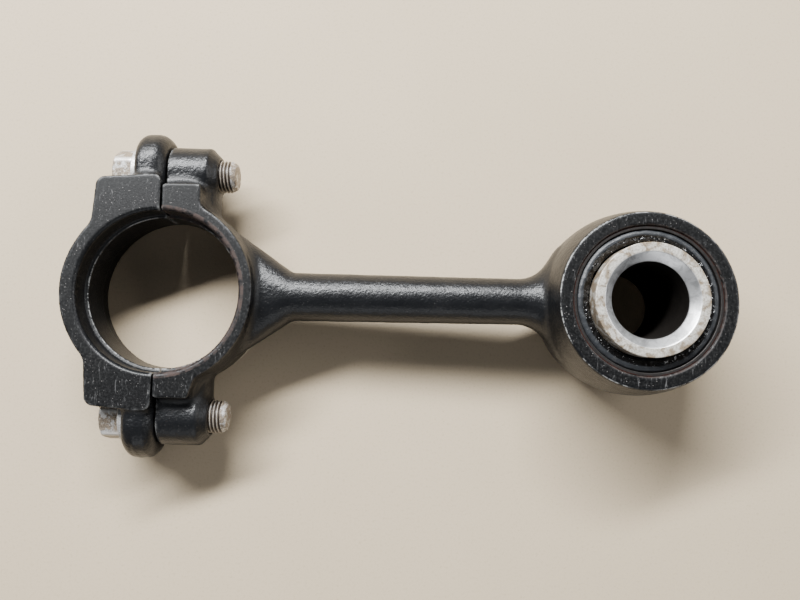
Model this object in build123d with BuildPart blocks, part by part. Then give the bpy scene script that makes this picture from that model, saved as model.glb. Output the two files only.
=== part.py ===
"""Connecting link: a split two-bolt clamp, a round shank and an eye with a rubber-metal bush.

Millimetres. Origin at the centre of the clamp bore. +X runs along the link to the eye, +Y to the
upper bolt, and +Z along both bores. The clamp parts on the plane x = 0.
"""

import os
from math import cos, radians, sin, sqrt, tan

from build123d import *

os.makedirs("parts", exist_ok=True)

# Link
center_distance = 200.0  # clamp bore to bush
shank_radius_clamp_end = 10.5
shank_radius_eye_end = 10.0

# Clamp ring
clamp_width = 34.0
rib_radius = 32.0  # the middle rib grips the bar
rib_width = 15.0
rib_edge_chamfer = 0.4
land_radius = 33.5  # the lands each side of the rib
bore_edge_chamfer = 1.0
rod_ring_radius = 39.0  # at the faces
cap_ring_radius = 40.0
parting_gap = 0.8  # left between the halves when the bolts are tight
draft_angle = 3.0  # forging draft, from the faces to the middle plane
face_edge_round = 0.6

# Clamp lugs, at the faces
rod_upper_lug_height = 45.0
rod_upper_lug_depth = 16.3
rod_upper_lug_lean = 0.0
rod_lower_lug_height = 43.6
rod_lower_lug_depth = 14.4
rod_lower_lug_lean = 4.5  # how much deeper the lug is at its foot
rod_lug_foot = 29.0
rod_lug_corner = 1.5
rod_lug_root = 5.0
cap_lug_height = 49.2  # at the parting plane
cap_lug_fall = 2.0  # how much lower the lug is at its outer end
cap_lug_depth = 27.2
cap_lug_lean = 1.5  # how much deeper the lug is at its foot
cap_lug_foot = 25.0
cap_lug_corner = 4.0
cap_lug_parting_corner = 3.0
cap_lug_root = 8.0

# Bolt bosses and ears
bolt_offset = 52.2  # bolt axis to clamp axis
boss_radius = 12.1
boss_length = 20.6  # from the parting plane
boss_chamfer = 4.0
ear_radius = 15.5
ear_rise = 2.1  # ear centre beyond the bolt axis
ear_thickness = 13.9  # from the parting plane
ear_seat_round = 4.6
ear_parting_round = 6.4
spotface_depth = 1.1  # washer seat below the ear's outer face
spotface_clearance = 1.2  # round the washer

# Bolts and washers, M14 x 1.5
thread_diameter = 14.0
bolt_length = 43.0
bolt_tip_length = 2.5
bolt_tip_radius = 5.4
head_across_flats = 19.0
head_height = 8.8
head_chamfer_radius = 9.3  # flat top of the head
head_chamfer_angle = 30.0
washer_outer_diameter = 24.0
washer_inner_diameter = 15.0
washer_thickness = 2.5
washer_edge_chamfer = 0.3
bolt_hole_diameter = 15.0
thread_clearance = 0.05  # radial, bolt in its tapped hole
tapped_hole_chamfer = 1.0
upper_head_turn = 4.0  # degrees
lower_head_turn = 15.0

# Eye
eye_width = 48.0
eye_face_radius = 36.0
eye_middle_radius = 39.2
eye_bore_radius = 30.5
eye_bore_chamfer = 0.5
eye_edge_round = 1.0

# Flares between the shank and its ends
clamp_flare_length = 29.0
clamp_flare_end = 53.5  # from the clamp axis
clamp_flare_rise = 1.6  # how much thicker than the shank at the ring
eye_flare_start = 151.0
eye_flare_radius = 14.0
eye_flare_angle = 43.0
eye_flare_run = 19.0  # straight part after the bend
eye_flare_depth = 0.42  # share of the widening that the flare takes along Z

# Bush
sleeve_radius = 23.0
sleeve_bore_radius = 15.5
sleeve_length = 56.0
sleeve_entry_radius = 19.2
sleeve_entry_depth = 3.5
sleeve_edge_chamfer = 0.5
outer_sleeve_wall = 1.5
outer_sleeve_recess = 1.0  # each end, below the eye's face
bond_gap = 0.05  # rubber to each sleeve
rubber_edge_depth = 2.4  # below the eye's face, at the outer sleeve
rubber_crest_depth = 1.0
rubber_groove_depth = 5.5
rubber_groove_width = 1.5

half_width = clamp_width / 2
half_gap = parting_gap / 2
draft_growth = half_width * tan(radians(draft_angle))
tapped_hole_radius = thread_diameter / 2 + thread_clearance
washer_seat = spotface_depth - ear_thickness
head_seat = washer_seat - washer_thickness
head_end = head_seat - head_height
spotface_radius = washer_outer_diameter / 2 + spotface_clearance
outer_sleeve_inner_radius = eye_bore_radius - outer_sleeve_wall
slack = 0.01  # for choosing edges and corners by their place
eye_axis = Axis((center_distance, 0, 0), (0, 0, 1))


def across(x):
    """Plane across the link at x, with +Y to the right and +Z up."""
    return Plane.YZ.offset(x)


def bolt_plane(x, side):
    """Plane across a bolt at x. side is +1 for the upper bolt and -1 for the lower."""
    return Plane(origin=(x, side * bolt_offset, 0), x_dir=(0, 1, 0), z_dir=(1, 0, 0))


def bore_cutter(axis_x, half_profile):
    """Tool that cuts a bore about the line x = axis_x. half_profile holds its (radius, z) corners."""
    with BuildPart() as cutter:
        with BuildSketch(Plane.XZ):
            with BuildLine():
                Polyline(
                    (axis_x, half_profile[0][1]),
                    *[(axis_x - radius, z) for radius, z in half_profile],
                    (axis_x, half_profile[-1][1]),
                    close=True,
                )
            make_face()
        revolve(axis=Axis((axis_x, 0, 0), (0, 0, 1)))
    return cutter.part


def straight_bore(axis_x, half_length, radius, mouth_radius, mouth_depth):
    """Tool for a straight bore that opens out at both mouths."""
    return bore_cutter(
        axis_x,
        [
            (mouth_radius, -half_length),
            (radius, mouth_depth - half_length),
            (radius, half_length - mouth_depth),
            (mouth_radius, half_length),
        ],
    )


# Clamp bore: a middle rib, a wider land each side of it and chamfered mouths
rib_side = [
    (rib_radius, rib_width / 2 - rib_edge_chamfer),
    (rib_radius + rib_edge_chamfer, rib_width / 2),
    (land_radius, rib_width / 2),
    (land_radius, half_width - bore_edge_chamfer),
    (land_radius + bore_edge_chamfer, half_width),
]
clamp_bore = bore_cutter(0, [(radius, -z) for radius, z in reversed(rib_side)] + rib_side)
eye_bore = straight_bore(
    center_distance,
    eye_width / 2,
    eye_bore_radius,
    eye_bore_radius + eye_bore_chamfer,
    eye_bore_chamfer,
)
sleeve_bore = straight_bore(
    center_distance,
    sleeve_length / 2,
    sleeve_bore_radius,
    sleeve_entry_radius,
    sleeve_entry_depth,
)

# Outlines of the two clamp halves at their faces
rod_lugs = [
    (1, rod_upper_lug_height, rod_upper_lug_depth, rod_upper_lug_lean),
    (-1, rod_lower_lug_height, rod_lower_lug_depth, rod_lower_lug_lean),
]
with BuildSketch() as rod_outline:
    Circle(rod_ring_radius)
    for side, height, depth, lean in rod_lugs:
        Polygon(
            (0, 0),
            (0, side * height),
            (depth, side * height),
            (depth + lean, side * rod_lug_foot),
            align=None,
        )
    with Locations((half_gap - center_distance, 0)):
        Rectangle(2 * center_distance, 2 * center_distance, mode=Mode.SUBTRACT)
    sides = [v for v in rod_outline.vertices() if v.X > rod_lower_lug_depth]
    fillet([v for v in sides if abs(v.Y) < rod_ring_radius], rod_lug_root)
    tops = [v for v in rod_outline.vertices() if abs(v.Y) > rod_ring_radius]
    fillet(tops, rod_lug_corner)

with BuildSketch() as cap_outline:
    Circle(cap_ring_radius)
    for side in (1, -1):
        Polygon(
            (0, side * cap_lug_height),
            (-cap_lug_depth, side * (cap_lug_height - cap_lug_fall)),
            (-cap_lug_depth - cap_lug_lean, side * cap_lug_foot),
            (0, 0),
            align=None,
        )
    with Locations((center_distance - half_gap, 0)):
        Rectangle(2 * center_distance, 2 * center_distance, mode=Mode.SUBTRACT)
    sides = [v for v in cap_outline.vertices() if v.X < slack - cap_lug_depth]
    fillet([v for v in sides if abs(v.Y) < cap_ring_radius], cap_lug_root)
    tops = [v for v in cap_outline.vertices() if abs(v.Y) > cap_lug_height - cap_lug_fall - slack]
    fillet([v for v in tops if v.X < -cap_lug_depth / 2], cap_lug_corner)
    tops = [v for v in cap_outline.vertices() if abs(v.Y) > cap_ring_radius]
    fillet([v for v in tops if v.X > -half_gap - slack], cap_lug_parting_corner)

# Rod: clamp half, bosses, flares, shank and eye in one forging
with BuildPart() as link_rod:
    for side in (1, -1):
        with BuildSketch(across(0)):
            with Locations((side * bolt_offset, 0)):
                Circle(boss_radius)
        extrude(amount=boss_length)
    chamfer(link_rod.faces().filter_by(Axis.X).sort_by(Axis.X)[-2:].edges(), boss_chamfer)

    with BuildSketch(Plane.XZ):
        with Locations((boss_length - boss_radius, 0)):
            Circle(boss_radius)
            Rectangle(
                boss_length - boss_radius,
                2 * boss_radius,
                align=(Align.MAX, Align.CENTER),
            )
    extrude(amount=bolt_offset - boss_chamfer, both=True)

    with BuildSketch():
        add(rod_outline.sketch)
        offset(amount=draft_growth)
    extrude(amount=half_width, both=True, taper=draft_angle)

    ring_faces = link_rod.faces().filter_by(Axis.Z).sort_by(Axis.Z)
    rims = ring_faces[0].edges() + ring_faces[-1].edges()
    fillet([e for e in rims if e.center().X > half_gap], face_edge_round)

    flare_start = clamp_flare_end - clamp_flare_length
    flare_half_width = sqrt(rod_ring_radius**2 - flare_start**2)
    for share in (0, 0.5, 1):
        with BuildSketch(across(flare_start + share * clamp_flare_length)):
            Ellipse(
                flare_half_width + share * (shank_radius_clamp_end - flare_half_width),
                shank_radius_clamp_end + (1 - share) * clamp_flare_rise,
            )
    loft()

    with BuildSketch(across(clamp_flare_end)):
        Circle(shank_radius_clamp_end)
    with BuildSketch(across(eye_flare_start)):
        Circle(shank_radius_eye_end)
    loft()

    bends = [radians(share * eye_flare_angle) for share in (0, 0.4, 0.7, 1)]
    stations = [(eye_flare_radius * sin(b), eye_flare_radius * (1 - cos(b))) for b in bends]
    bend_end, bend_widening = stations[-1]
    stations.append(
        (
            bend_end + eye_flare_run * cos(bends[-1]),
            bend_widening + eye_flare_run * sin(bends[-1]),
        )
    )
    for distance, widening in stations:
        with BuildSketch(across(eye_flare_start + distance)):
            Ellipse(
                shank_radius_eye_end + widening,
                shank_radius_eye_end + eye_flare_depth * widening,
            )
    loft()

    with BuildSketch(Plane.XZ):
        with BuildLine():
            ThreePointArc(
                (center_distance + eye_face_radius, -eye_width / 2),
                (center_distance + eye_middle_radius, 0),
                (center_distance + eye_face_radius, eye_width / 2),
            )
            Polyline(
                (center_distance + eye_face_radius, eye_width / 2),
                (center_distance, eye_width / 2),
                (center_distance, -eye_width / 2),
                (center_distance + eye_face_radius, -eye_width / 2),
            )
        make_face()
    revolve(axis=eye_axis)
    eye_faces = link_rod.faces().filter_by(Axis.Z).sort_by(Axis.Z)
    fillet(eye_faces[0].edges() + eye_faces[-1].edges(), eye_edge_round)

    add(clamp_bore, mode=Mode.SUBTRACT)
    add(eye_bore, mode=Mode.SUBTRACT)
    for side in (1, -1):
        with BuildSketch(bolt_plane(0, side)):
            Circle(tapped_hole_radius)
        extrude(amount=boss_length, mode=Mode.SUBTRACT)
        with Locations(bolt_plane(half_gap, side)):
            Cone(
                tapped_hole_radius + tapped_hole_chamfer,
                tapped_hole_radius,
                tapped_hole_chamfer,
                align=(Align.CENTER, Align.CENTER, Align.MIN),
                mode=Mode.SUBTRACT,
            )
    split(bisect_by=Plane.YZ.offset(half_gap), keep=Keep.TOP)

# Cap: the loose clamp half, with a bolt ear at each end
with BuildPart() as clamp_cap:
    for side in (1, -1):
        with BuildSketch(across(-ear_thickness)):
            with Locations((side * (bolt_offset + ear_rise), 0)):
                Circle(ear_radius)
            with Locations((side * (bolt_offset + rib_radius) / 2, 0)):
                Rectangle(bolt_offset - rib_radius + 2 * ear_rise, 2 * ear_radius)
        extrude(amount=ear_thickness)
    ear_faces = clamp_cap.faces().filter_by(Axis.X).sort_by(Axis.X)
    seat_edges = [e for e in ear_faces[:2].edges() if abs(e.center().Y) > cap_ring_radius]
    parting_edges = [e for e in ear_faces[-2:].edges() if abs(e.center().Y) > cap_ring_radius]
    fillet(seat_edges, ear_seat_round)
    fillet(parting_edges, ear_parting_round)

    with BuildSketch():
        add(cap_outline.sketch)
        offset(amount=draft_growth)
    extrude(amount=half_width, both=True, taper=draft_angle)

    ring_faces = clamp_cap.faces().filter_by(Axis.Z).sort_by(Axis.Z)
    rims = ring_faces[0].edges() + ring_faces[-1].edges()
    fillet([e for e in rims if e.center().X < -half_gap - slack], face_edge_round)

    add(clamp_bore, mode=Mode.SUBTRACT)
    for side in (1, -1):
        with BuildSketch(bolt_plane(washer_seat, side)):
            Circle(spotface_radius)
        extrude(amount=-cap_ring_radius, mode=Mode.SUBTRACT)
        with BuildSketch(bolt_plane(washer_seat, side)):
            Circle(bolt_hole_diameter / 2)
        extrude(amount=ear_thickness, mode=Mode.SUBTRACT)
    split(bisect_by=Plane.YZ.offset(-half_gap), keep=Keep.BOTTOM)


def make_bolt(side, head_turn):
    """Hexagon bolt along +X, its head chamfered outside, its tip turned down to a pilot."""
    corner_radius = head_across_flats / 2 / cos(radians(30))
    chamfer_depth = (corner_radius - head_chamfer_radius) * tan(radians(head_chamfer_angle))
    with BuildPart() as bolt:
        with BuildSketch(bolt_plane(head_end, side)):
            Circle(corner_radius)
        extrude(amount=head_height)
        outer_face = bolt.faces().sort_by(Axis.X)[0]
        chamfer(
            outer_face.edges(),
            corner_radius - head_chamfer_radius,
            chamfer_depth,
            reference=outer_face,
        )
        with BuildSketch(bolt_plane(head_end, side)):
            RegularPolygon(head_across_flats / 2, 6, major_radius=False, rotation=head_turn)
        extrude(amount=head_height, mode=Mode.INTERSECT)
        with BuildSketch(bolt_plane(head_seat, side)):
            Circle(thread_diameter / 2)
        extrude(amount=bolt_length)
        tip = bolt.faces().sort_by(Axis.X)[-1]
        chamfer(tip.edges(), bolt_tip_length, thread_diameter / 2 - bolt_tip_radius)
    return bolt


def make_washer(side):
    """Flat washer on the cap's seat."""
    with BuildPart() as washer:
        with BuildSketch(bolt_plane(head_seat, side)):
            Circle(washer_outer_diameter / 2)
        extrude(amount=washer_thickness)
        chamfer(washer.edges(), washer_edge_chamfer)
        with BuildSketch(bolt_plane(head_seat, side)):
            Circle(washer_inner_diameter / 2)
        extrude(amount=washer_thickness, mode=Mode.SUBTRACT)
    return washer


upper_bolt = make_bolt(1, upper_head_turn)
lower_bolt = make_bolt(-1, lower_head_turn)
upper_washer = make_washer(1)
lower_washer = make_washer(-1)

# Bush: outer sleeve, rubber ring and inner sleeve
with BuildPart() as bush_outer_sleeve:
    with BuildSketch(Plane.XY.offset(outer_sleeve_recess - eye_width / 2)):
        with Locations((center_distance, 0)):
            Circle(eye_bore_radius)
            Circle(outer_sleeve_inner_radius, mode=Mode.SUBTRACT)
    extrude(amount=eye_width - 2 * outer_sleeve_recess)

with BuildPart() as bush_rubber:
    rubber_outer = outer_sleeve_inner_radius - bond_gap
    rubber_inner = sleeve_radius + bond_gap
    edge_z = eye_width / 2 - rubber_edge_depth
    crest_z = eye_width / 2 - rubber_crest_depth
    groove_z = eye_width / 2 - rubber_groove_depth
    crest_x = (rubber_outer + rubber_inner + rubber_groove_width) / 2
    with BuildSketch(Plane.XZ):
        with BuildLine():
            for end in (1, -1):
                ThreePointArc(
                    (center_distance + rubber_outer, end * edge_z),
                    (center_distance + crest_x, end * crest_z),
                    (center_distance + rubber_inner + rubber_groove_width, end * edge_z),
                )
                Polyline(
                    (center_distance + rubber_inner + rubber_groove_width, end * edge_z),
                    (center_distance + rubber_inner + rubber_groove_width / 2, end * groove_z),
                    (center_distance + rubber_inner, end * groove_z),
                )
            for x in (rubber_outer, rubber_inner):
                z = edge_z if x == rubber_outer else groove_z
                Line((center_distance + x, -z), (center_distance + x, z))
        make_face()
    revolve(axis=eye_axis)

with BuildPart() as bush_inner_sleeve:
    with BuildSketch(Plane.XY.offset(-sleeve_length / 2)):
        with Locations((center_distance, 0)):
            Circle(sleeve_radius)
    extrude(amount=sleeve_length)
    chamfer(bush_inner_sleeve.edges(), sleeve_edge_chamfer)
    add(sleeve_bore, mode=Mode.SUBTRACT)

pieces = {
    "link_rod": link_rod,
    "clamp_cap": clamp_cap,
    "upper_bolt": upper_bolt,
    "lower_bolt": lower_bolt,
    "upper_washer": upper_washer,
    "lower_washer": lower_washer,
    "bush_outer_sleeve": bush_outer_sleeve,
    "bush_rubber": bush_rubber,
    "bush_inner_sleeve": bush_inner_sleeve,
}
for name, piece in pieces.items():
    piece.part.label = name
    export_step(piece.part, f"parts/{name}.step")
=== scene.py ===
"""Looks of the connecting link: forged and painted rod and cap, zinc bolts and washers, rubber bush."""

import bmesh
import bpy
import numpy as np
from math import atan2, cos, pi, radians, sin, tan
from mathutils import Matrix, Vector, noise
from mathutils.bvhtree import BVHTree


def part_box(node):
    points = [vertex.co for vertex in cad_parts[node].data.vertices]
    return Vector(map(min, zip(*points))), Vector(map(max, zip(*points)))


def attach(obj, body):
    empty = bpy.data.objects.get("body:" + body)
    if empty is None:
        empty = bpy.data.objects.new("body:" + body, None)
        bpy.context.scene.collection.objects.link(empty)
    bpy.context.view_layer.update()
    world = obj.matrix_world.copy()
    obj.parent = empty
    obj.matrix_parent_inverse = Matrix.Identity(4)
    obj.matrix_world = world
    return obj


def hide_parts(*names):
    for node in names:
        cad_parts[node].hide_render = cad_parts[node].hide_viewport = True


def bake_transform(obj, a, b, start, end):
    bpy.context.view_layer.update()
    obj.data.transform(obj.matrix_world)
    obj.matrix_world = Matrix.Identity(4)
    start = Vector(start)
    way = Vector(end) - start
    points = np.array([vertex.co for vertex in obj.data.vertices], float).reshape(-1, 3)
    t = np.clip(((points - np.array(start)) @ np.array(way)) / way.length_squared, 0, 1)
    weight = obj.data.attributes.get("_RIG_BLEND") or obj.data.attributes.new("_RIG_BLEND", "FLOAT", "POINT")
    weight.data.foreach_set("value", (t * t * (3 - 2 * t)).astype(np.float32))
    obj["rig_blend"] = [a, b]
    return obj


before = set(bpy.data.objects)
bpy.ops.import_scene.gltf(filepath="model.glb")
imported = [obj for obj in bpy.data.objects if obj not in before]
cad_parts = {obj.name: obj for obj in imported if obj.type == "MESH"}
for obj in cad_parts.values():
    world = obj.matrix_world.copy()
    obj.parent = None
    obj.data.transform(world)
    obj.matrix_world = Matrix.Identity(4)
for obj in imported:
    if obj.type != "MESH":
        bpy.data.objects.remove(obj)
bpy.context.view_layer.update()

MM = 0.001

# ---------------------------------------------------------------- sizes from the frame

sleeve_low, sleeve_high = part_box("bush_inner_sleeve")
outer_low, outer_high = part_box("bush_outer_sleeve")
rubber_low, rubber_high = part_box("bush_rubber")
cap_low, cap_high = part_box("clamp_cap")
rod_low, rod_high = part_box("link_rod")

eye_x = (sleeve_low.x + sleeve_high.x) / 2
sleeve_radius = (sleeve_high.x - sleeve_low.x) / 2
sleeve_half_length = sleeve_high.z
outer_sleeve_radius = (outer_high.x - outer_low.x) / 2
outer_sleeve_half_length = outer_high.z
rubber_outer_radius = (rubber_high.x - rubber_low.x) / 2
eye_half_width = rod_high.z
clamp_half_width = cap_high.z
parting_x = rod_low.x

# ---------------------------------------------------------------- finish sizes

thread_radius = 7.0 * MM
thread_pitch = 1.5 * MM
thread_depth = 0.82 * MM
tip_radius = 5.4 * MM
tip_length = 2.5 * MM
head_half_flats = 9.5 * MM
head_flat_radius = 9.2 * MM
head_corner_round = 0.25 * MM
washer_hole_radius = 7.5 * MM
sleeve_bore_radius = 15.5 * MM
sleeve_entry_radius = 19.2 * MM
sleeve_entry_depth = 3.5 * MM
outer_sleeve_wall = 1.5 * MM
rib_radius = 32.0 * MM
rib_half_width = 7.5 * MM
land_radius = 33.5 * MM
eye_bore_radius = outer_sleeve_radius
eye_face_radius = 36.0 * MM
head_turn = {"upper": 4.0, "lower": 15.0}  # degrees
head_chamfer_angle = 30.0
steps_per_pitch = 12  # rows of faces along one turn of thread
bond_gap = 0.05 * MM  # rubber to inner sleeve
face_tolerance = 0.1 * MM  # how near a corner lies to a face to count as on it
bore_margin = 1.2 * MM  # machined rim round a bore, its chamfer included
spotface_radius = 13.3 * MM
corner_rounds = 60  # passes that soften the inside corners
skin_rounds = 30  # passes that smooth the forged skin
skin_shrink = 0.5
skin_swell = 0.52  # a little more than the shrink, so that the skin keeps its size
ear_ridge_places = (5.0 * MM, 8.8 * MM)  # from the washer seat
ear_ridge_width = 0.8 * MM
ear_ridge_height = 0.25 * MM


# ---------------------------------------------------------------- materials

class Shade:
    """A node material, built up one call at a time."""

    def __init__(self, name):
        self.material = bpy.data.materials.new(name)
        self.material.use_nodes = True
        self.tree = self.material.node_tree
        self.tree.nodes.clear()
        self.out = self.tree.nodes.new("ShaderNodeOutputMaterial")
        self.shader = self.tree.nodes.new("ShaderNodeBsdfPrincipled")
        self.tree.links.new(self.shader.outputs[0], self.out.inputs[0])
        self.coords = self.node("ShaderNodeTexCoord").outputs["Object"]

    def node(self, kind, values=None, **settings):
        made = self.tree.nodes.new(kind)
        for key, value in settings.items():
            setattr(made, key, value)
        for key, value in (values or {}).items():
            self.set(made.inputs[key], value)
        return made

    def set(self, socket, value):
        if isinstance(value, bpy.types.NodeSocket):
            self.tree.links.new(value, socket)
        else:
            socket.default_value = value

    def surface(self, **values):
        """Sets the shader's own sockets, given by name with _ for a space."""
        for key, value in values.items():
            self.set(self.shader.inputs[key.replace("_", " ")], value)

    def stretched(self, x, y, z):
        return self.node(
            "ShaderNodeVectorMath",
            {0: self.coords, 1: (x, y, z)},
            operation="MULTIPLY",
        ).outputs[0]

    def noise(self, size, detail=3.0, rough=0.5, coords=None, distortion=0.0):
        """Noise whose blotches are about size metres."""
        values = {
            "Vector": coords or self.coords,
            "Scale": 1 / size,
            "Detail": detail,
            "Roughness": rough,
            "Distortion": distortion,
        }
        return self.node("ShaderNodeTexNoise", values).outputs[0]

    def cells(self, size):
        """Distance from the nearest of many points about size metres apart."""
        values = {"Vector": self.coords, "Scale": 1 / size}
        return self.node("ShaderNodeTexVoronoi", values).outputs["Distance"]

    def attribute(self, name):
        return self.node("ShaderNodeAttribute", attribute_name=name).outputs["Fac"]

    def math(self, operation, a, b=0.0):
        return self.node("ShaderNodeMath", {0: a, 1: b}, operation=operation).outputs[0]

    def step(self, value, low, high):
        """0 below low, 1 above high, smooth between; low may be the higher."""
        values = {"Value": value, "From Min": low, "From Max": high}
        made = self.node("ShaderNodeMapRange", values, interpolation_type="SMOOTHSTEP")
        return made.outputs[0]

    def spread(self, value, low, high):
        """Maps 0 to 1 onto low to high."""
        values = {"Value": value, "To Min": low, "To Max": high}
        return self.node("ShaderNodeMapRange", values).outputs[0]

    def mix(self, a, b, share):
        made = self.node("ShaderNodeMix", data_type="RGBA")
        self.set(made.inputs["Factor"], share)
        self.set(made.inputs[6], a)
        self.set(made.inputs[7], b)
        return made.outputs[2]

    def blend(self, a, b, share):
        """Mix of two numbers."""
        made = self.node("ShaderNodeMix", data_type="FLOAT")
        self.set(made.inputs["Factor"], share)
        self.set(made.inputs[2], a)
        self.set(made.inputs[3], b)
        return made.outputs[0]

    def band(self, value, low, high):
        """1 between low and high, with soft ends 0.3 mm wide."""
        soft = 0.15 * MM
        rise = self.step(value, low - soft, low + soft)
        return self.math("MULTIPLY", rise, self.step(value, high + soft, high - soft))

    def line(self, radius, at_radius, height, at_height):
        """A ring-shaped line about 0.4 mm wide, used to paint a highlight along an edge."""
        half = 0.2 * MM
        across = self.band(radius, at_radius - half, at_radius + half)
        return self.math("MULTIPLY", across, self.band(height, at_height - half, at_height + half))

    def position(self, centre_x=0.0):
        """Distance from the upright line at x = centre_x, and height z."""
        axes = self.node("ShaderNodeSeparateXYZ", {0: self.coords}).outputs
        x = self.math("SUBTRACT", axes[0], centre_x)
        square = self.math("ADD", self.math("MULTIPLY", x, x), self.math("MULTIPLY", axes[1], axes[1]))
        return self.math("SQRT", square), axes[2]

    def bump(self, height, distance, strength=1.0, under=None):
        values = {"Height": height, "Distance": distance, "Strength": strength}
        if under is not None:
            values["Normal"] = under
        return self.node("ShaderNodeBump", values).outputs[0]


def paint_shade():
    """Black paint over forged skin, thin and scuffed on the machined faces, with rust at bare edges, pale
    convex edges that are partly worn paint and partly painted highlight, and painted highlight lines along
    the rib edge and the eye rim.
    """
    s = Shade("black_paint")
    machined = s.attribute("machined")
    wear_and_highlight = s.attribute("wear_and_highlight")
    hollow = s.attribute("hollow")
    clamp_radius, height = s.position(0.0)
    eye_radius, height = s.position(eye_x)
    height = s.math("ABSOLUTE", height)

    blotch = s.noise(14 * MM, 4, 0.55)
    fine = s.noise(0.9 * MM, 4, 0.65)
    chip_field = s.noise(2.4 * MM, 5, 0.7)
    scratches = s.noise(1.1 * MM, 4, 0.7, coords=s.stretched(1.0, 0.22, 1.0), distortion=0.8)

    black = s.mix((0.0025, 0.0028, 0.0034, 1), (0.007, 0.0074, 0.0085, 1), blotch)
    scuffed = s.mix((0.0012, 0.0013, 0.0015, 1), (0.012, 0.0122, 0.0125, 1), s.step(fine, 0.42, 0.78))
    scuffed = s.mix(scuffed, (0.07, 0.07, 0.07, 1), s.step(scratches, 0.58, 0.72))
    color = s.mix(black, scuffed, machined)

    dust = s.math("MULTIPLY", s.step(blotch, 0.5, 0.75), s.step(fine, 0.5, 0.72))
    color = s.mix(color, (0.05, 0.045, 0.038, 1), s.math("MULTIPLY", dust, 0.3))

    specks = s.math("MULTIPLY", s.step(s.cells(1.1 * MM), 0.2, 0.09), s.step(chip_field, 0.48, 0.57))
    color = s.mix(color, (0.2, 0.19, 0.18, 1), s.math("MULTIPLY", specks, s.spread(machined, 0.25, 0.85)))

    # painted highlight: pale lines along the edge of the clamp's rib and along the rim of the eye's face
    rib_edge_highlight = s.line(clamp_radius, rib_radius + 0.2 * MM, height, rib_half_width - 0.2 * MM)
    eye_rim_highlight = s.line(eye_radius, eye_face_radius - 0.3 * MM, height, eye_half_width - 0.3 * MM)
    rim_highlights = s.math("MULTIPLY", s.math("MAXIMUM", rib_edge_highlight, eye_rim_highlight), s.step(blotch, 0.4, 0.55))
    # pale edges: partly worn paint and partly painted highlight, together with the painted highlight lines of
    # the rims
    edge = s.math("MAXIMUM", s.math("MULTIPLY", wear_and_highlight, 0.6), rim_highlights)
    edge = s.math("MULTIPLY", edge, s.step(chip_field, 0.42, 0.54))
    color = s.mix(color, (0.45, 0.45, 0.44, 1), s.math("MULTIPLY", edge, 0.7))

    rust_color = s.mix((0.016, 0.0105, 0.009, 1), (0.066, 0.045, 0.038, 1), fine)
    rust_patch = s.step(s.noise(3.2 * MM, 4, 0.65), 0.36, 0.62)
    shoulder = s.band(clamp_radius, rib_radius - 1 * MM, land_radius + 2.2 * MM)
    shoulder = s.math("MULTIPLY", shoulder, s.step(height, rib_half_width - 2 * MM, rib_half_width))
    on_rod = s.step(s.node("ShaderNodeSeparateXYZ", {0: s.coords}).outputs[0], 0.0, 0.2 * MM)
    shoulder = s.math("MULTIPLY", shoulder, on_rod)
    fit_line = s.step(eye_radius, eye_bore_radius + 0.6 * MM, eye_bore_radius + 0.4 * MM)
    bare = s.math("MAXIMUM", shoulder, s.math("MULTIPLY", fit_line, 0.7))
    in_hollow = s.math("MULTIPLY", hollow, s.step(chip_field, 0.6, 0.68))
    rust = s.math("MULTIPLY", s.math("MAXIMUM", bare, s.math("MULTIPLY", in_hollow, 0.5)), rust_patch)
    color = s.mix(color, rust_color, rust)

    rough = s.spread(s.noise(5 * MM, 4, 0.6), 0.24, 0.42)
    rough = s.blend(rough, s.spread(fine, 0.32, 0.58), machined)
    rough = s.blend(rough, 0.8, rust)
    rough = s.blend(rough, 0.6, s.math("MULTIPLY", hollow, 0.6))

    pebbles = s.bump(s.noise(1.1 * MM, 3, 0.55), 0.2 * MM, s.spread(machined, 1.0, 0.1))
    normal = s.bump(s.noise(0.7 * MM, 2, 0.5), 0.06 * MM, s.spread(machined, 1.0, 0.5), pebbles)
    s.surface(Base_Color=color, Roughness=rough, Normal=normal)
    s.surface(Specular_IOR_Level=s.blend(0.38, 0.26, machined))
    return s.material


def zinc_shade(name, stain):
    """Old zinc plate: pale and dull, with brown stains, painted shade in the hollows, and pale edges that are
    partly wear and partly painted highlight. stain runs from 0 to about 0.3.
    """
    s = Shade(name)
    blotch = s.noise(2.6 * MM, 5, 0.65, distortion=0.5)
    fine = s.noise(0.6 * MM, 4, 0.65)
    hollow = s.attribute("hollow")
    wear_and_highlight = s.attribute("wear_and_highlight")
    zinc = s.mix((0.36, 0.35, 0.335, 1), (0.72, 0.71, 0.69, 1), s.step(fine, 0.3, 0.7))
    brown = s.mix((0.06, 0.036, 0.019, 1), (0.24, 0.175, 0.1, 1), s.step(fine, 0.3, 0.7))
    stain_edge = s.spread(s.attribute("stain"), 0.56 - stain, 0.3)
    stained = s.step(s.math("SUBTRACT", blotch, stain_edge), 0.0, 0.14)
    color = s.mix(zinc, brown, s.math("MULTIPLY", stained, 0.85))
    # pale edges: partly wear and partly painted highlight, as on the corners of the bolt heads
    color = s.mix(color, (0.82, 0.81, 0.79, 1), s.math("MULTIPLY", wear_and_highlight, 0.7))
    # painted shade: near black in the hollows, the thread grooves most of all
    color = s.mix(color, (0.016, 0.01, 0.007, 1), hollow)
    metal = s.blend(0.6, 0.2, stained)
    rough = s.spread(s.noise(1.5 * MM, 3, 0.6), 0.3, 0.55)
    uneven = s.bump(blotch, 0.2 * MM, 0.5)
    s.surface(Base_Color=color, Metallic=metal, Roughness=rough)
    s.surface(Normal=s.bump(s.noise(0.5 * MM, 3, 0.6), 0.07 * MM, 0.7, uneven))
    return s.material


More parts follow.
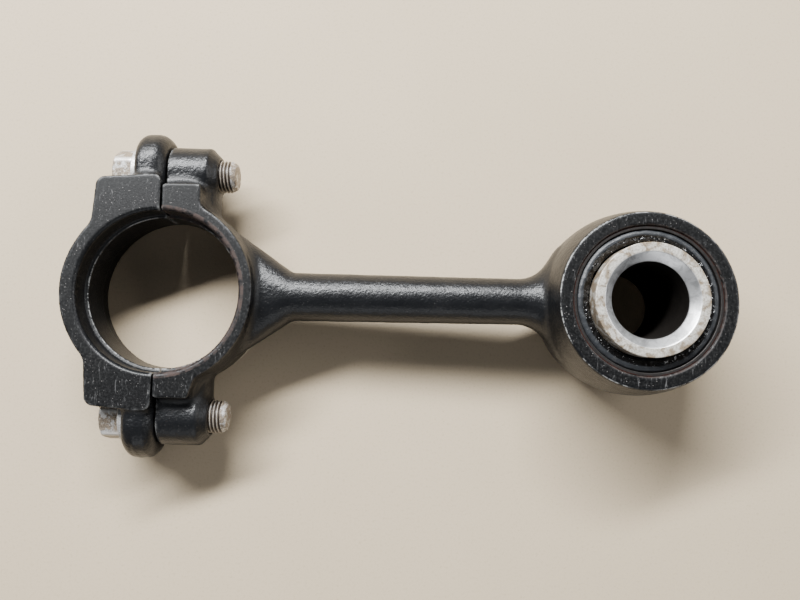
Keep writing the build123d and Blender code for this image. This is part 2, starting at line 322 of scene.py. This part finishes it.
def sleeve_shade():
    """Inner sleeve: pale plated end faces, a bright turned entry and a dark bore."""
    s = Shade("sleeve_steel")
    radius, height = s.position(eye_x)
    blotch = s.noise(4 * MM, 5, 0.62, distortion=0.5)
    fine = s.noise(0.6 * MM, 4, 0.65)
    entry = s.step(radius, sleeve_entry_radius + 0.25 * MM, sleeve_entry_radius - 0.1 * MM)
    near_rim = s.step(radius, sleeve_radius - 2 * MM, sleeve_radius)
    bore = s.step(radius, sleeve_bore_radius + 0.2 * MM, sleeve_bore_radius)
    pale = s.mix((0.27, 0.25, 0.215, 1), (0.58, 0.555, 0.5, 1), s.step(fine, 0.25, 0.65))
    brown = s.mix((0.09, 0.055, 0.028, 1), (0.27, 0.2, 0.12, 1), fine)
    stained = s.step(s.math("ADD", blotch, s.spread(near_rim, 0.0, 0.07)), 0.46, 0.63)
    face = s.mix(pale, brown, s.math("MULTIPLY", stained, 0.85))
    pits = s.math("MULTIPLY", s.step(s.cells(1.6 * MM), 0.24, 0.12), s.step(blotch, 0.46, 0.54))
    face = s.mix(face, (0.06, 0.035, 0.02, 1), s.math("MULTIPLY", pits, 0.8))
    bright = s.mix((0.5, 0.5, 0.5, 1), (0.8, 0.8, 0.8, 1), s.step(blotch, 0.65, 0.4))
    dark = s.mix((0.01, 0.009, 0.008, 1), (0.035, 0.03, 0.026, 1), blotch)
    color = s.mix(face, bright, entry)
    color = s.mix(color, dark, bore)
    rings = s.node(
        "ShaderNodeTexNoise",
        {"Scale": 1 / (0.25 * MM), "Detail": 2.0, "W": s.math("ADD", radius, height)},
        noise_dimensions="1D",
    ).outputs[0]
    rough = s.blend(s.spread(fine, 0.42, 0.62), s.spread(fine, 0.3, 0.4), entry)
    rough = s.blend(rough, 0.6, bore)
    metal = s.blend(0.35, 0.9, entry)
    turned = s.bump(rings, 0.02 * MM, 0.4)
    pitted = s.spread(s.math("MAXIMUM", entry, bore), 0.6, 0.08)
    s.surface(Base_Color=color, Roughness=rough, Metallic=metal)
    s.surface(Normal=s.bump(s.noise(0.8 * MM, 4, 0.6), 0.09 * MM, pitted, turned))
    return s.material


def dark_steel_shade():
    """End of the pressed-in outer sleeve: dark, with a red-brown line of rust at its fit."""
    s = Shade("dark_steel")
    radius, height = s.position(eye_x)
    blotch = s.noise(3 * MM, 4, 0.6)
    fine = s.noise(0.8 * MM, 3, 0.6)
    steel = s.mix((0.014, 0.013, 0.013, 1), (0.05, 0.045, 0.042, 1), fine)
    rust = s.mix((0.026, 0.008, 0.006, 1), (0.075, 0.022, 0.014, 1), fine)
    at_fit = s.step(radius, outer_sleeve_radius - 0.55 * MM, outer_sleeve_radius - 0.25 * MM)
    share = s.math("MULTIPLY", at_fit, s.step(blotch, 0.36, 0.56))
    s.surface(
        Base_Color=s.mix(steel, rust, share),
        Roughness=s.spread(blotch, 0.3, 0.55),
        Metallic=0.6,
        Normal=s.bump(fine, 0.1 * MM, 0.5),
    )
    return s.material


def rubber_shade():
    """Moulded rubber: dark blue-grey satin, glossy black where the flash stands up, a little dust, and pale
    specks on the flash as painted glints.
    """
    s = Shade("bush_rubber")
    flash = s.attribute("flash")
    blotch = s.noise(5 * MM, 4, 0.6)
    fine = s.noise(0.7 * MM, 3, 0.6)
    color = s.mix((0.008, 0.009, 0.0105, 1), (0.024, 0.0265, 0.0305, 1), blotch)
    dust = s.math("MULTIPLY", s.step(blotch, 0.48, 0.7), s.step(fine, 0.5, 0.7))
    color = s.mix(color, (0.09, 0.083, 0.073, 1), s.math("MULTIPLY", dust, 0.45))
    color = s.mix(color, (0.004, 0.004, 0.0045, 1), flash)
    # painted glints: pale specks scattered over the flash
    painted_glints = s.math("MULTIPLY", s.step(s.cells(1.1 * MM), 0.26, 0.14), s.step(fine, 0.45, 0.55))
    painted_glints = s.math("MULTIPLY", painted_glints, flash)
    color = s.mix(color, (0.34, 0.34, 0.34, 1), s.math("MULTIPLY", painted_glints, 0.8))
    rough = s.spread(s.noise(2.2 * MM, 4, 0.6), 0.34, 0.6)
    rough = s.blend(rough, 0.13, flash)
    uneven = s.bump(s.noise(1.6 * MM, 3, 0.6), 0.3 * MM, s.spread(flash, 0.5, 1.0))
    s.surface(Base_Color=color, Roughness=rough, Normal=s.bump(fine, 0.1 * MM, 0.5, uneven))
    return s.material


def floor_shade():
    """Plain pale floor."""
    s = Shade("pale_floor")
    broad = s.noise(0.12, 3, 0.5)
    fine = s.noise(1.2 * MM, 3, 0.6)
    color = s.mix((0.47, 0.375, 0.255, 1), (0.53, 0.43, 0.3, 1), broad)
    color = s.mix(color, (0.38, 0.3, 0.2, 1), s.math("MULTIPLY", s.step(fine, 0.5, 0.8), 0.6))
    s.surface(Base_Color=color, Roughness=0.85, Normal=s.bump(fine, 0.15 * MM, 0.4))
    return s.material


# ---------------------------------------------------------------- mesh tools

def new_piece(name, mesh, material, body, node):
    """A finished piece that stands for a CAD node and rides on its body."""
    piece = bpy.data.objects.new(name, mesh)
    bpy.context.scene.collection.objects.link(piece)
    mesh.materials.clear()
    mesh.materials.append(material)
    mesh.polygons.foreach_set("use_smooth", [True] * len(mesh.polygons))
    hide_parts(node)
    if body:
        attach(piece, body)
    return piece


def corners(mesh):
    flat = np.empty(len(mesh.vertices) * 3)
    mesh.vertices.foreach_get("co", flat)
    return flat.reshape(-1, 3)


def set_corners(mesh, points):
    mesh.vertices.foreach_set("co", points.ravel())
    mesh.update()


def normals(mesh):
    flat = np.empty(len(mesh.vertices) * 3)
    mesh.vertices.foreach_get("normal", flat)
    return flat.reshape(-1, 3)


def set_attribute(mesh, name, values):
    layer = mesh.attributes.new(name, "FLOAT", "POINT")
    layer.data.foreach_set("value", np.clip(values, 0, 1).astype(np.float32))


class Neighbours:
    """Averages over each vertex's neighbours."""

    def __init__(self, mesh):
        ends = np.empty(len(mesh.edges) * 2, int)
        mesh.edges.foreach_get("vertices", ends)
        self.a, self.b = ends.reshape(-1, 2).T
        self.size = len(mesh.vertices)
        count = np.bincount(self.a, minlength=self.size) + np.bincount(self.b, minlength=self.size)
        self.count = np.maximum(count, 1)

    def mean(self, values):
        if values.ndim == 2:
            return np.stack([self.mean(column) for column in values.T], axis=1)
        total = np.bincount(self.a, values[self.b], self.size)
        total += np.bincount(self.b, values[self.a], self.size)
        return total / self.count

    def blurred(self, values, times):
        for _ in range(times):
            values = (values + self.mean(values)) / 2
        return values


def smooth_step(values, low, high):
    t = np.clip((values - low) / (high - low), 0, 1)
    return t * t * (3 - 2 * t)


def roughness_field(points, size, octaves):
    """Smooth noise from -1 to 1 at each point, with blotches of about size metres."""
    return np.array([noise.fractal(Vector(p) / size, 1.0, 2.0, octaves) for p in points])


def fine_copy(node, voxel):
    """The CAD node's mesh remade in even faces of about voxel metres, each corner on the CAD surface.
    Also gives the CAD surface's normal at each corner."""
    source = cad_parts[node]
    welded = bmesh.new()
    welded.from_mesh(source.data)
    bmesh.ops.remove_doubles(welded, verts=welded.verts, dist=0.001 * MM)
    surface = BVHTree.FromBMesh(welded)
    mesh = bpy.data.meshes.new(node + "_source")
    welded.to_mesh(mesh)
    welded.free()
    holder = bpy.data.objects.new(node + "_source", mesh)
    bpy.context.scene.collection.objects.link(holder)
    remesh = holder.modifiers.new("Remesh", "REMESH")
    remesh.mode = "VOXEL"
    remesh.voxel_size = voxel
    evaluated = holder.evaluated_get(bpy.context.evaluated_depsgraph_get())
    fine = bpy.data.meshes.new_from_object(evaluated)
    bpy.data.objects.remove(holder)
    found = [surface.find_nearest(Vector(p)) for p in corners(fine)]
    set_corners(fine, np.array([hit[0] for hit in found]))
    return fine, np.array([hit[1] for hit in found])


# ---------------------------------------------------------------- forged pieces

def forge(node, name, body, voxel):
    """Forged and painted piece: soft fillets in its inside corners, an uneven skin, crisp machined faces.
    No corner leaves the CAD node's own box."""
    mesh, facing = fine_copy(node, voxel)
    near = Neighbours(mesh)
    points = corners(mesh)
    x, y, z = points.T
    from_clamp = np.hypot(x, y)
    from_eye = np.hypot(x - eye_x, y)
    flat = np.abs(facing[:, 2]) > 0.99
    clamp_face = flat & (np.abs(np.abs(z) - clamp_half_width) < face_tolerance)
    eye_face = flat & (np.abs(np.abs(z) - eye_half_width) < face_tolerance)
    clamp_bore = (from_clamp < land_radius + bore_margin) & (np.abs(z) < clamp_half_width + face_tolerance)
    eye_bore = from_eye < eye_bore_radius + bore_margin
    parting = np.abs(facing[:, 0]) > 0.99
    parting &= np.abs(np.abs(x) - parting_x) < face_tolerance
    machined = (clamp_face | eye_face | clamp_bore | eye_bore | parting).astype(float)
    if node == "clamp_cap":
        bolt_axis = (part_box("upper_washer")[0].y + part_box("upper_washer")[1].y) / 2
        from_bolt = np.hypot(np.abs(y) - bolt_axis, z)
        seat = (np.abs(facing[:, 0]) > 0.99) & (x < -5 * MM) & (from_bolt < spotface_radius)
        machined = np.maximum(machined, seat)

    radial = np.abs(facing[:, 2]) < 0.3
    on_rib = radial & (from_clamp < rib_radius + 0.3 * MM) & (np.abs(z) < rib_half_width)
    on_land = radial & clamp_bore & ~on_rib & (from_clamp < land_radius + 0.2 * MM)
    for zone, true_radius in ((on_rib, rib_radius), (on_land, land_radius)):
        points[zone, :2] *= (true_radius / from_clamp[zone])[:, None]

    bend = near.mean(points) - points
    curve = np.einsum("ij,ij->i", bend, normals(mesh)) / voxel
    curve = near.blurred(curve, 2)
    inside_corner = smooth_step(near.blurred(np.maximum(curve, 0), 3), 0.008, 0.03)
    forged = 1 - near.blurred(machined, 1)
    soft = near.blurred(inside_corner, 6) * forged * (forged > 0.9)
    soft = np.clip(soft * 1.6, 0, 1)[:, None]
    for _ in range(corner_rounds):
        points = points + 0.5 * soft * (near.mean(points) - points)
    skin_share = (forged > 0.9)[:, None]
    for _ in range(skin_rounds):
        points = points + skin_shrink * skin_share * (near.mean(points) - points)
        points = points - skin_swell * skin_share * (near.mean(points) - points)
    set_corners(mesh, points)

    skin = roughness_field(points, 9 * MM, 2) * 0.1 * MM + roughness_field(points, 2.4 * MM, 2) * 0.035 * MM
    points = points + normals(mesh) * (skin * near.blurred(forged, 2))[:, None]
    set_corners(mesh, points)

    if node == "clamp_cap":
        seat_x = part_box("upper_washer")[1].x
        for place in ear_ridge_places:
            ridge = np.exp(-(((points[:, 0] - seat_x - place) / ear_ridge_width) ** 2))
            on_ear = smooth_step(-points[:, 1], 50 * MM, 56 * MM) * forged
            points = points + normals(mesh) * (ridge * on_ear * ear_ridge_height)[:, None]
    low, high = (np.array(corner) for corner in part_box(node))
    set_corners(mesh, np.clip(points, low, high))

    # pale convex edges, stronger beside the machined faces: partly worn paint and partly painted highlight
    edge = smooth_step(-curve, 0.08, 0.2) * (0.2 + 0.8 * smooth_step(near.blurred(machined, 2), 0, 0.3))
    set_attribute(mesh, "machined", near.blurred(machined * np.where(clamp_bore, 0.3, 1.0), 1))
    set_attribute(mesh, "wear_and_highlight", near.blurred(edge, 1))
    set_attribute(mesh, "hollow", near.blurred(inside_corner, 2))
    return new_piece(name, mesh, paint, body, node)


# ---------------------------------------------------------------- turned pieces

def ring_mesh(name, rows, columns, point, closed):
    """Mesh of rows round an axis. point(i, turn) places a corner; closed joins the last row to the first."""
    build = bmesh.new()
    grid = []
    for i in range(rows):
        grid.append([build.verts.new(point(i, 2 * pi * j / columns)) for j in range(columns)])
    for i in range(rows if closed else rows - 1):
        near_row, far_row = grid[i], grid[(i + 1) % rows]
        for j in range(columns):
            k = (j + 1) % columns
            build.faces.new((near_row[j], near_row[k], far_row[k], far_row[j]))
    if not closed:
        build.faces.new(list(reversed(grid[0])))
        build.faces.new(grid[-1])
    bmesh.ops.recalc_face_normals(build, faces=build.faces)
    mesh = bpy.data.meshes.new(name)
    build.to_mesh(mesh)
    build.free()
    return mesh


def densified(outline, spacing):
    """Points along a closed outline of (radius, height), no more than spacing apart."""
    made = []
    for start, end in zip(outline, outline[1:] + outline[:1]):
        gap = (Vector(end) - Vector(start)).length
        parts = max(1, round(gap / spacing))
        made += [tuple(Vector(start).lerp(Vector(end), k / parts)) for k in range(parts)]
    return made


def rounded(outline, radius):
    """A closed outline with each corner cut by an arc of about this radius."""
    made = []
    count = len(outline)
    for i, corner in enumerate(outline):
        here = Vector(corner)
        before = Vector(outline[i - 1]) - here
        after = Vector(outline[(i + 1) % count]) - here
        reach = min(radius, before.length * 0.45, after.length * 0.45)
        a = here + before.normalized() * reach
        b = here + after.normalized() * reach
        for t in (0, 0.25, 0.5, 0.75, 1):
            made.append(tuple((1 - t) ** 2 * a + 2 * t * (1 - t) * here + t * t * b))
    return made


def turned_about_z(name, outline, columns, uneven=None):
    """Ring about the eye's axis. uneven(radius, height, turn) gives the corner's (radius, height)."""
    def point(i, turn):
        radius, height = outline[i]
        if uneven:
            radius, height = uneven(radius, height, turn)
        return (eye_x + radius * cos(turn), radius * sin(turn), height)

    return ring_mesh(name, len(outline), columns, point, closed=True)


def wear_and_shade_marks(mesh, spacing, low, high):
    """Attributes from how sharply the surface turns at each corner: one for convex edges, painted pale as
    wear and highlight, and hollow for hollows, painted as shade.
    """
    near = Neighbours(mesh)
    points = corners(mesh)
    curve = np.einsum("ij,ij->i", near.mean(points) - points, normals(mesh)) / spacing
    set_attribute(mesh, "wear_and_highlight", near.blurred(smooth_step(-curve, low, high), 1))
    set_attribute(mesh, "hollow", near.blurred(smooth_step(curve, low, high), 1))


def thread_profile(share):
    """Depth of the thread's groove, 0 at the crest to 1 at the root, over one pitch from 0 to 1."""
    return min(1.0, max(0.0, (0.5 - abs(share - 0.5)) * 3.0 - 0.2))


def bolt_piece(side):
    """Hexagon bolt with a cut thread and a turned-down tip."""
    node = side + "_bolt"
    low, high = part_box(node)
    seat_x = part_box(side + "_washer")[0].x
    axis_y = sum(corner.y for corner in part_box(side + "_washer")) / 2
    turned = radians(head_turn[side])
    pitch_step = thread_pitch / steps_per_pitch

    rows = [(low.x, 0.3), (low.x, 0.62), (low.x, 0.86), (low.x, 1.0)]
    stations = [("head", *row) for row in rows]
    stations += [("cone", share, 0) for share in (0.15, 0.5, 0.85, 1.0)]
    stations += [("side", share, 0) for share in (0.06, 0.14, 0.3, 0.5, 0.7, 0.86, 0.955)]
    stations += [("foot", 0.985, 0), ("foot", 1.0, 0.25)]
    stations += [("neck", 1.0, 0)]
    thread_rows = int((high.x - seat_x) / pitch_step)
    stations += [("thread", k, 0) for k in range(1, thread_rows)]
    stations += [("end", 1.0, 0), ("end", 0.6, 0), ("end", 0.2, 0)]

    def hexagon(turn):
        wedge = (turn - turned) % (pi / 3) - pi / 6
        sharp = head_half_flats / cos(wedge)
        limit = head_half_flats / cos(pi / 6) - head_corner_round
        return sharp - max(0.0, sharp - limit) * 0.8

    def point(i, turn):
        kind, a, b = stations[i]
        reach = hexagon(turn)
        cone_depth = max(0.0, reach - head_flat_radius) * tan(radians(head_chamfer_angle))
        if kind == "head":
            x, radius = a, b * head_flat_radius
        elif kind == "cone":
            x = low.x + 0.05 * MM + a * cone_depth
            radius = head_flat_radius + a * (reach - head_flat_radius)
        elif kind == "side":
            top = low.x + 0.05 * MM + cone_depth
            x, radius = top + a * (seat_x - top), reach
        elif kind == "foot":
            x = low.x + a * (seat_x - low.x)
            radius = reach - 0.3 * MM - b * MM
        elif kind == "neck":
            x, radius = seat_x, thread_radius
        elif kind == "thread":
            x = seat_x + a * pitch_step
            share = (x / thread_pitch - turn / (2 * pi)) % 1.0
            shape = thread_profile(share)
            near_tip = min(1.0, max(0.0, (x - (high.x - tip_length)) / tip_length))
            shaped = thread_radius - shape * thread_depth
            radius = min(shaped, thread_radius - near_tip * (thread_radius - tip_radius))
        else:
            x, radius = high.x, tip_radius * 0.93 * a
        return (x, axis_y + radius * cos(turn), radius * sin(turn))

    mesh = ring_mesh(node + "_mesh", len(stations), 96, point, closed=False)
    near = Neighbours(mesh)
    points = corners(mesh)
    from_axis = np.hypot(points[:, 1] - axis_y, points[:, 2])
    on_thread = points[:, 0] > seat_x + 0.2 * MM
    taper = np.clip((points[:, 0] - high.x + tip_length) / tip_length, 0, 1)
    skin_radius = thread_radius - taper * (thread_radius - tip_radius)
    groove = on_thread * smooth_step(skin_radius - from_axis, 0.1 * thread_depth, 0.75 * thread_depth)
    groove *= points[:, 0] < high.x - 0.1 * MM
    crest = on_thread * (from_axis > thread_radius - 0.06 * MM)
    head_corner_highlight = near.blurred((~on_thread) & (np.abs(from_axis - head_half_flats / cos(pi / 6)) < 0.4 * MM), 1)
    # the hollow attribute paints shade into the thread grooves
    set_attribute(mesh, "hollow", groove * 0.95)
    set_attribute(mesh, "stain", smooth_step(high.x - 1.6 * MM - points[:, 0], 0, 2 * MM) * on_thread * 0.75)
    # pale marks: thread crests rubbed pale, and painted highlights along the corners of the head
    set_attribute(mesh, "wear_and_highlight", near.blurred(crest * 0.25 + head_corner_highlight * 0.9, 1))
    return new_piece(f"{side}_hex_bolt", mesh, bolt_zinc, node, node)


def washer_piece(side):
    """Plain washer with softened edges."""
    node = side + "_washer"
    low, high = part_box(node)
    axis_y = (low.y + high.y) / 2
    radius = (high.y - low.y) / 2
    outline = [(washer_hole_radius, low.x), (radius, low.x), (radius, high.x), (washer_hole_radius, high.x)]
    outline = rounded(densified(outline, 1.2 * MM), 0.25 * MM)

    def point(i, turn):
        reach, x = outline[i]
        return (x, axis_y + reach * cos(turn), reach * sin(turn))

    mesh = ring_mesh(node + "_mesh", len(outline), 96, point, closed=True)
    wear_and_shade_marks(mesh, 0.3 * MM, 0.1, 0.5)
    return new_piece(f"{side}_flat_washer", mesh, washer_zinc, node, node)


def inner_sleeve_piece():
    """Thick sleeve with a wide turned entry at each end of its bore."""
    half = sleeve_half_length
    outline = [
        (sleeve_bore_radius, -half + sleeve_entry_depth),
        (sleeve_entry_radius, -half),
        (sleeve_radius, -half),
        (sleeve_radius, half),
        (sleeve_entry_radius, half),
        (sleeve_bore_radius, half - sleeve_entry_depth),
    ]
    outline = densified(rounded(outline, 0.5 * MM), 2 * MM)
    mesh = turned_about_z("inner_sleeve_mesh", outline, 200)
    return new_piece("inner_sleeve", mesh, sleeve_steel, "inner_sleeve", "bush_inner_sleeve")


def outer_sleeve_piece():
    """Thin sleeve pressed into the eye."""
    half = outer_sleeve_half_length
    inner = outer_sleeve_radius - outer_sleeve_wall
    outline = [(inner, -half), (outer_sleeve_radius, -half), (outer_sleeve_radius, half), (inner, half)]
    outline = densified(rounded(outline, 0.3 * MM), 3 * MM)
    mesh = turned_about_z("outer_sleeve_mesh", outline, 160)
    return new_piece("outer_sleeve", mesh, dark_steel, "link", "bush_outer_sleeve")


def rubber_piece():
    """Rubber ring with a crowned end, a groove beside the inner sleeve and a ragged line of flash in it."""
    inner = sleeve_radius + bond_gap
    outer = rubber_outer_radius
    crest = rubber_high.z
    flash_from, flash_to = 0.1, 0.62
    end = [
        (0.0, crest - 4.4 * MM),
        (0.06, crest - 4.2 * MM),
        (0.13, crest - 2.4 * MM),
        (0.22, crest - 1.5 * MM),
        (0.36, crest - 0.9 * MM),
        (0.48, crest - 0.7 * MM),
        (0.58, crest - 0.2 * MM),
        (0.68, crest - 0.05 * MM),
        (0.82, crest - 0.3 * MM),
        (0.93, crest - 0.8 * MM),
        (1.0, crest - 1.6 * MM),
    ]
    top = [(inner + share * (outer - inner), height) for share, height in end]
    outline = densified(top + [(radius, -height) for radius, height in reversed(top)], 0.4 * MM)

    def flash_share(radius):
        share = (radius - inner) / (outer - inner)
        rise = min(1.0, max(0.0, (share - flash_from) / 0.08))
        return rise * min(1.0, max(0.0, (flash_to - share) / 0.08))

    def uneven(radius, height, turn):
        side = 1 if height > 0 else -1
        at_end = min(1.0, max(0.0, (abs(height) - crest + 5 * MM) / (2 * MM)))
        place = Vector((cos(turn) * radius, sin(turn) * radius, side * 20 * MM))
        ragged = noise.fractal(place / (1.9 * MM), 1.0, 2.0, 3) * 0.9 * MM
        wave = noise.fractal(place / (4 * MM), 1.0, 2.0, 3) * 0.26 * MM
        flash = flash_share(radius)
        lift = (wave + flash * ragged) * at_end
        shift = flash * at_end * noise.fractal(place / (1.7 * MM) + Vector((7, 3, 1)), 1.0, 2.0, 2) * 0.4 * MM
        return radius + shift, max(-crest, min(crest, height + side * lift))

    mesh = turned_about_z("rubber_mesh", outline, 300, uneven)
    piece = new_piece("rubber_ring", mesh, rubber, None, "bush_rubber")
    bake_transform(piece, "link", "rubber", (eye_x + outer, 0, 0), (eye_x + inner, 0, 0))
    points = corners(mesh)
    from_axis = np.hypot(points[:, 0] - eye_x, points[:, 1])
    follow = smooth_step(outer - from_axis, 0, outer - inner)
    mesh.attributes["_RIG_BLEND"].data.foreach_set("value", follow.astype(np.float32))
    set_attribute(mesh, "flash", np.array([flash_share(reach) for reach in from_axis]))
    return piece


# ---------------------------------------------------------------- the pieces

paint = paint_shade()
bolt_zinc = zinc_shade("bolt_zinc", 0.19)
washer_zinc = zinc_shade("washer_zinc", 0.02)
sleeve_steel = sleeve_shade()
dark_steel = dark_steel_shade()
rubber = rubber_shade()

voxel = 0.7 * MM
forge("link_rod", "forged_rod", "link", voxel)
forge("clamp_cap", "forged_cap", "cap", voxel * 0.85)
for side in ("upper", "lower"):
    bolt_piece(side)
    washer_piece(side)
inner_sleeve_piece()
outer_sleeve_piece()
rubber_piece()

# ---------------------------------------------------------------- floor, lights and camera

rest_clamp = Vector((cap_low.x, 0, cap_low.z))
rest_sleeve = Vector((sleeve_low.x, 0, sleeve_low.z))
along = (rest_sleeve - rest_clamp).normalized()
floor_size = 6.0
floor_mesh = bpy.data.meshes.new("floor")
half = floor_size / 2
floor_corners = [(-half, -half, 0), (half, -half, 0), (half, half, 0), (-half, half, 0)]
floor_mesh.from_pydata(floor_corners, [], [(0, 1, 2, 3)])
floor = bpy.data.objects.new("floor", floor_mesh)
floor.location = rest_clamp
floor.rotation_euler = (0, atan2(-along.z, along.x), 0)
floor_mesh.materials.append(floor_shade())
bpy.context.scene.collection.objects.link(floor)

centre = Vector((0.1, 0, 0))


def area_light(name, place, size, power, tint=(1, 1, 1)):
    light = bpy.data.lights.new(name, "AREA")
    light.shape = "RECTANGLE"
    light.size, light.size_y = size
    light.energy = power
    light.color = tint
    lamp = bpy.data.objects.new(name, light)
    lamp.location = place
    lamp.rotation_euler = (centre - Vector(place)).to_track_quat("-Z", "Y").to_euler()
    bpy.context.scene.collection.objects.link(lamp)
    return lamp


area_light("key", (-0.22, 0.75, 0.8), (1.2, 0.13), 64, (0.97, 0.985, 1))
area_light("side", (0.95, 0.25, 0.45), (0.7, 0.4), 4)
area_light("fill", (0.2, -1.0, 0.5), (1.2, 0.4), 3, (0.95, 0.97, 1))

world = bpy.data.worlds.new("studio")
world.use_nodes = True
world.node_tree.nodes["Background"].inputs[0].default_value = (0.9, 0.94, 1.0, 1)
world.node_tree.nodes["Background"].inputs[1].default_value = 0.1
bpy.context.scene.world = world

camera_data = bpy.data.cameras.new("camera")
camera_data.lens = 30.4788
camera_data.sensor_width = 36
camera = bpy.data.objects.new("camera", camera_data)
camera.location = (0.099540, -0.023121, 0.293636)
camera.rotation_euler = (radians(4.43999), radians(-0.20293), radians(1.27147))
bpy.context.scene.collection.objects.link(camera)
bpy.context.scene.camera = camera
